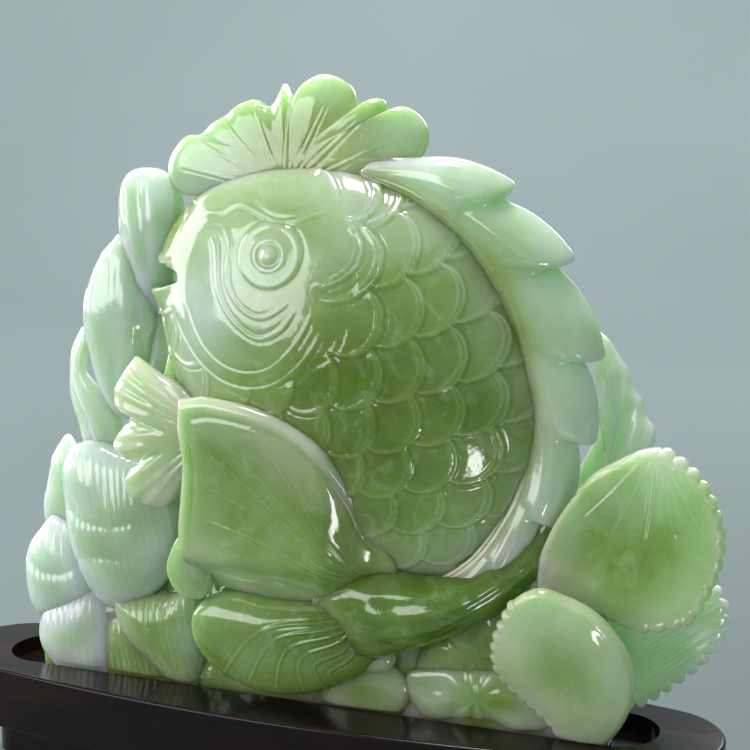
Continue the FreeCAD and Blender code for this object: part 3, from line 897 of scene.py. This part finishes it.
def lotus_flower():
    """The six petals, in the order in which they lie from the tip down to the foot."""
    petal(
        "lotus_petal_tip_left",
        [
            (-105.5, 135), (-109, 130), (-112, 122), (-115, 113), (-115.5, 103), (-112, 93), (-107, 88),
            (-98, 88), (-92, 97), (-94, 110), (-98, 121), (-101.5, 130),
        ],
        (-104, 108), 6, 8, 31, corners=[0], shade=0.02,
    )
    petal(
        "lotus_petal_front",
        [
            (-88, 137), (-95, 135), (-98, 128), (-98.5, 118), (-97, 104), (-94, 92), (-88, 80), (-80, 73),
            (-72, 72), (-63, 80), (-54, 90), (-49, 101), (-49, 114), (-54, 124), (-63, 131), (-75, 135),
        ],
        (-74, 105), -6, 12, 34, corners=[1],
        tiers=(
            [(-97, 113), (-88, 108), (-76, 107), (-62, 110)],
            [(-94, 90), (-84, 94), (-70, 95), (-56, 94)],
        ),
        shade=0.06,
    )
    petal(
        "lotus_petal_left",
        [
            (-108, 105), (-113, 100), (-118, 92), (-120, 83), (-119.5, 74), (-116, 66), (-108, 62), (-96, 64),
            (-86, 72), (-86, 84), (-93, 95), (-101, 103),
        ],
        (-104, 83), 0, 12, 37,
        tiers=([(-118, 88), (-110, 84), (-100, 84), (-90, 88)],), shade=-0.04,
    )
    petal(
        "lotus_petal_foot_left",
        [
            (-88, 80), (-98, 77), (-107, 73), (-112, 66), (-113, 58), (-110, 50), (-103, 43), (-90, 40),
            (-78, 42), (-76, 54), (-78, 66), (-82, 75),
        ],
        (-94, 58), -3, 12, 40, corners=[0], seat=True, shade=-0.02,
    )
    petal(
        "lotus_petal_foot_middle",
        [
            (-44, 85), (-54, 82), (-66, 80), (-78, 79), (-76, 70), (-70, 61), (-61, 53), (-51, 47), (-44, 47),
            (-41, 56), (-39, 68), (-40, 79),
        ],
        (-55, 69), -9, 9, 43, corners=[3], seat=True, shade=0.36,
    )
    petal(
        "lotus_petal_foot_behind",
        [(-70, 73), (-79, 70), (-84, 62), (-84, 52), (-80, 42), (-64, 40), (-51, 42), (-51, 56), (-56, 68)],
        (-67, 56), -6, 9, 46, seat=True, shade=0.45,
    )


# ---- leaves and stems below and to the right ----

def rock_base():
    """The uncarved ground of the block, with its foot in the recess."""
    rows = [
        (-110, 62, 38, 8),
        (-96, 76, 30, 11),
        (-74, 84, 26, 12),
        (-46, 90, 26, 12),
        (-16, 92, 26, 12),
        (16, 90, 26, 12),
        (46, 86, 26, 12),
        (72, 88, 26, 12),
        (94, 80, 30, 11),
        (109, 64, 38, 8),
    ]
    grid, _, _ = blade(lying(rows), along=280, around=170)
    height = 0.9 * ripple(grid, 16, 51) + 0.5 * ripple(grid, 6, 52)
    grid = seated(raised(grid, height * (grid[..., 2] > STAND_TOP + 2)))
    tone = 0.55 + 0.2 * ripple(grid, 12, 53)
    mesh_piece("rock_base", grid, tone=tone)


def small_leaf(name, outline, root, y, thick, seed, veins=0, seat=False, shade=0.42):
    """A plain rounded leaf or pod, with veins from its root if it has any."""
    grid, r = fan(outline, root, at_depth(y), thick, 90, 260)
    height = 0.4 * ripple(grid, 14, seed)
    if veins:
        angle = np.arctan2(grid[..., 2] - root[1], grid[..., 0] - root[0])
        height += 0.35 * np.sin(angle * veins) * ramp(r, 0.15, 0.5) * ramp(1 - r, 0.0, 0.12)
    grid = raised(grid, height)
    if seat:
        grid = seated(grid)
    tone = shade + 0.1 * ramp(1 - r, 0.1, 0.9) + 0.08 * ripple(grid, 18, seed + 1)
    mesh_piece(name, grid, tone=tone)


def leaves_below():
    """The leaves and the seed pod between the tail and the slab."""
    small_leaf(
        "lotus_leaf_foot",
        [(8, 66), (16, 70), (28, 70), (37, 65.5), (41, 59), (39, 52), (33, 46), (15, 45), (8, 51), (5.5, 59)],
        (23, 57), -12, 4.5, 61, seat=True,
    )
    small_leaf(
        "lotus_seed_pod",
        [(23, 72), (28, 75), (34, 74.5), (36.5, 70), (34, 66), (26, 65.5), (23, 68)],
        (29, 70), -16, 4, 63,
    )
    small_leaf(
        "lotus_leaf_flat",
        [
            (40, 64), (52, 68), (66, 69.5), (80, 70), (91, 66), (93, 59), (91, 52.5), (66, 51.5), (42, 52),
            (39, 58),
        ],
        (66, 60), -11, 4.5, 65, veins=8,
    )
    small_leaf(
        "lotus_leaf_under_tail",
        [
            (66, 97), (76, 99), (84, 94), (83, 84), (80, 70), (76, 58), (58, 56), (40, 58), (37, 66),
            (44, 76), (56, 88),
        ],
        (62, 74), -4, 9, 67, veins=9, shade=0.55,
    )


def lotus_leaf_right():
    """The broad cupped leaf at the right, its veins fanning down from the top."""
    outline = [
        (106, 144), (113, 148.5), (120, 152.5), (128, 154), (134, 151), (139, 147), (143, 142), (147, 133),
        (148.5, 124), (147.5, 115), (143.5, 104), (138, 95), (130, 92), (122, 90.5), (113, 93), (104, 96),
        (95, 97), (88, 99), (87, 110), (91, 122), (98, 134),
    ]
    root = (116.0, 120.0)
    veins_x = 127
    veins_top = 160
    middle = at_depth(-8, -0.05, 3.5, root)
    teeth = (0.12, 0.66, 19, 1.6)
    grid, r = fan(outline, root, middle, 5.0, 130, 480, full=0.5, back=3.0, teeth=teeth)
    x, z = grid[..., 0], grid[..., 2]
    angle = np.arctan2(veins_top - z, x - veins_x)
    height = 0.10 * np.sin(angle * 30) * ramp(veins_top - z, 6, 16) * ramp(1 - r, 0.03, 0.12)
    for k in range(8):
        way = math.radians(208 + 14 * k)
        line = [
            (veins_x + d * math.cos(way), veins_top - 2 + (1 - 0.004 * d) * d * math.sin(way))
            for d in (8, 20, 34, 46)
        ]
        height += cut_line(grid, line, 0.35, 0.45)
    height += 0.8 * bump(r - 0.95, 0.04)
    tone = 0.20 + 0.38 * bump(np.hypot(x - 118, z - 116), 22) + 0.06 * ripple(grid, 25, 72)
    mesh_piece("lotus_leaf_right", raised(grid, height), tone=tone, warmth=0.25)


def lotus_leaf_front_right():
    """The smooth domed leaf in front, with round teeth along its left and lower edge."""
    outline = [
        (100, 104), (90, 106), (82, 101), (77, 92), (73.5, 82), (74, 74), (79, 67), (86, 61), (92, 55),
        (98, 48), (108, 46), (114, 52), (119, 60), (122, 70), (121.5, 80), (118, 89), (112, 97),
    ]
    root = (99.0, 78.0)
    middle = at_depth(-19, -0.22, root=root)
    grid, r = fan(outline, root, middle, 7.0, 120, 480, full=0.75, teeth=(0.12, 0.52, 15, 2.2))
    height = 0.3 * ripple(grid, 22, 75) + 0.5 * bump(r - 0.93, 0.05)
    grid = seated(raised(grid, height))
    tone = 0.28 + 0.30 * ramp(1 - r, 0.1, 0.9) + 0.06 * ripple(grid, 25, 76)
    mesh_piece("lotus_leaf_front_right", grid, tone=tone, warmth=0.3)


def lotus_leaf_back_right():
    """The thin leaf behind, with round teeth and parallel ribs."""
    outline = [
        (100, 106), (118, 108), (134, 106), (143, 101), (147, 92), (145, 82), (140, 74), (133, 67),
        (125, 60), (116, 54), (104, 54), (94, 62), (92, 82),
    ]
    root = (114.0, 84.0)
    teeth = (0.18, 0.66, 15, 2.8)
    grid, r = fan(outline, root, at_depth(12), 3.5, 100, 480, full=0.45, teeth=teeth)
    x, z = grid[..., 0], grid[..., 2]
    height = 0.35 * np.sin((z - 0.8 * x) * 1.5) * ramp(1 - r, 0.02, 0.15)
    mesh_piece("lotus_leaf_back_right", raised(grid, height), tone=0.08)


def lotus_leaf_tall():
    """The tall thin leaf behind the dorsal fin, with a wavy right edge."""
    outline = [
        (100, 187), (98.5, 178), (100.5, 166), (100.5, 152), (95, 140), (88, 126), (84, 110), (94, 106),
        (104, 112), (107, 128), (113, 142), (120, 149), (120.5, 154), (117, 158.5), (115.5, 164),
        (112.5, 168), (110.5, 174), (107, 179), (103, 184.5),
    ]
    root = (104.0, 146.0)
    grid, r = fan(outline, root, at_depth(12), 4.0, 100, 280, corners=[0], full=0.5)
    x, z = grid[..., 0], grid[..., 2]
    height = 0.5 * np.sin(x * 0.9 - z * 0.25) * ramp(1 - r, 0.02, 0.2)
    height += cut_line(grid, [(101, 182), (107, 160), (104, 140), (96, 116)], 0.9, 0.8)
    mesh_piece("lotus_leaf_tall", raised(grid, height), tone=0.1)


def lotus_stem_right():
    """The thick folded stem that carries the leaves at the right."""
    stations = [
        ((86, 0, 126), (99, 0, 126), 6, 0),
        ((82, 0, 114), (103, 0, 114), 10, 0),
        ((78, 0, 100), (106, 0, 100), 13, 0),
        ((76, 0, 84), (108, 0, 84), 14, 0),
        ((74, 0, 68), (110, 0, 68), 13, 0),
        ((76, 0, 54), (108, 0, 54), 12, 0),
    ]
    grid, u, v = blade(stations, along=160, around=180)
    height = 0.8 * np.sin(v * 11 + u * 5) + 0.5 * ripple(grid, 12, 81)
    tone = 0.6 + 0.1 * ripple(grid, 20, 82)
    mesh_piece("lotus_stem_right", raised(grid, height), tone=tone)


def lotus_leaf_rear():
    """The leaf behind that carries the carp's back."""
    outline = [
        (-40, 130), (-12, 134), (16, 133), (38, 129), (52, 118), (58, 100), (57, 82), (48, 66), (30, 58),
        (0, 56), (-30, 58), (-50, 67), (-60, 82), (-62, 102), (-55, 119),
    ]
    root = (-2.0, 94.0)
    middle = at_depth(21, 0.06, -2.0, root)
    grid, r = fan(outline, root, middle, 6.5, 110, 480, full=0.55, teeth=(0.0, 1.0, 34, 1.5))
    angle = np.arctan2(grid[..., 2] - root[1], grid[..., 0] - root[0])
    height = 0.7 * np.sin(angle * 17) * ramp(r, 0.12, 0.4) * ramp(1 - r, 0.02, 0.15)
    tone = 0.28 + 0.15 * ramp(1 - r, 0.2, 0.9)
    mesh_piece("lotus_leaf_rear", raised(grid, height), tone=tone)


carp_body()
carp_dorsal_fin()
carp_tail_stalk()
carp_tail_fin_upper()
carp_tail_fin_middle()
carp_tail_fin_lower()
carp_pectoral_fin(-1, "carp_pectoral_fin_front")
carp_pectoral_fin(1, "carp_pectoral_fin_back")
lotus_leaf_top()
lotus_bud_upper()
lotus_bud_lower()
lotus_bud_stem()
lotus_leaf_curled()
lotus_flower()
rock_base()
leaves_below()
lotus_leaf_right()
lotus_leaf_front_right()
lotus_leaf_back_right()
lotus_leaf_tall()
lotus_stem_right()
lotus_leaf_rear()


# ---- stand ----

def finish_stand():
    """The stand keeps its CAD shapes, in dark wood."""
    for name in frame["record"]["behaviour"]["bodies"]["stand"]:
        node = frame["nodes"][name]
        node.data.materials.clear()
        node.data.materials.append(wood_material)


finish_stand()


# ---- floor, lights and camera ----

def make_stage():
    """A pale sheet that lies flat under the stand and curves up well behind it."""
    front_edge = -3.0
    bend_start = 1.0
    bend_radius = 1.2
    bend_steps = 18
    top = 4.0
    half_width = 4.0
    profile = [(front_edge, 0.0), (bend_start, 0.0)]
    for k in range(1, bend_steps + 1):
        turn = math.pi / 2 * k / bend_steps
        profile.append((bend_start + bend_radius * math.sin(turn), bend_radius * (1 - math.cos(turn))))
    profile.append((bend_start + bend_radius, top))
    points = [(x, y, z) for y, z in profile for x in (-half_width, half_width)]
    faces = [(2 * k, 2 * k + 1, 2 * k + 3, 2 * k + 2) for k in range(len(profile) - 1)]
    mesh = bpy.data.meshes.new("backdrop")
    mesh.from_pydata(points, [], faces)
    mesh.shade_smooth()
    mesh.materials.append(backdrop_material)
    sheet = bpy.data.objects.new("backdrop", mesh)
    bpy.context.scene.collection.objects.link(sheet)


def add_light(name, place, aim, size, power, colour=(1.0, 1.0, 1.0)):
    """A rectangular softbox at a place, facing a point."""
    lamp = bpy.data.lights.new(name, "AREA")
    lamp.shape = "RECTANGLE"
    lamp.size, lamp.size_y = size
    lamp.energy = power
    lamp.color = colour
    light = bpy.data.objects.new(name, lamp)
    light.location = place
    light.rotation_euler = (Vector(aim) - Vector(place)).to_track_quat("-Z", "Y").to_euler()
    light.visible_camera = False
    bpy.context.scene.collection.objects.link(light)


def make_lights():
    """Softboxes round the object, a small near one for a window's glint, one for the sheet behind."""
    middle = (0.02, 0.0, 0.16)
    add_light("overhead", (-0.12, 0.02, 1.20), middle, (0.34, 0.20), 10.5)
    add_light("key_left", (-1.15, 0.1, 0.45), middle, (1.0, 0.8), 12.5, (0.96, 0.99, 1.0))
    add_light("fill_front", (-0.75, -1.0, 0.5), middle, (0.8, 0.7), 7.5)
    add_light("window_right", (0.165, -0.188, 0.042), (0.066, -0.019, 0.14), (0.020, 0.055), 0.042)
    add_light("behind", (0.25, 0.9, 0.65), middle, (0.5, 0.4), 2.8)
    add_light("on_backdrop", (-0.9, 1.4, 2.1), (-0.8, 2.1, 0.3), (2.6, 0.5), 47.0)
    world = bpy.data.worlds.new("studio")
    world.use_nodes = True
    background = world.node_tree.nodes["Background"]
    background.inputs["Color"].default_value = (0.82, 0.92, 0.94, 1.0)
    background.inputs["Strength"].default_value = 0.37
    bpy.context.scene.world = world


def make_camera():
    """The photograph's view: from the front, a little to the right and above."""
    turn, rise = math.radians(20.6), math.radians(11.3)
    distance = 0.5925
    aim = Vector((0.02325, 0.0, 0.1685))
    back = Vector((math.sin(turn) * math.cos(rise), -math.cos(turn) * math.cos(rise), math.sin(rise)))
    lens = bpy.data.cameras.new("camera")
    lens.sensor_width = 36.0
    lens.lens = 81.1
    camera = bpy.data.objects.new("camera", lens)
    camera.location = aim + back * distance
    camera.rotation_euler = (-back).to_track_quat("-Z", "Y").to_euler()
    bpy.context.scene.collection.objects.link(camera)
    bpy.context.scene.camera = camera


make_stage()
make_lights()
make_camera()
bpy.context.scene.view_settings.view_transform = "Standard"
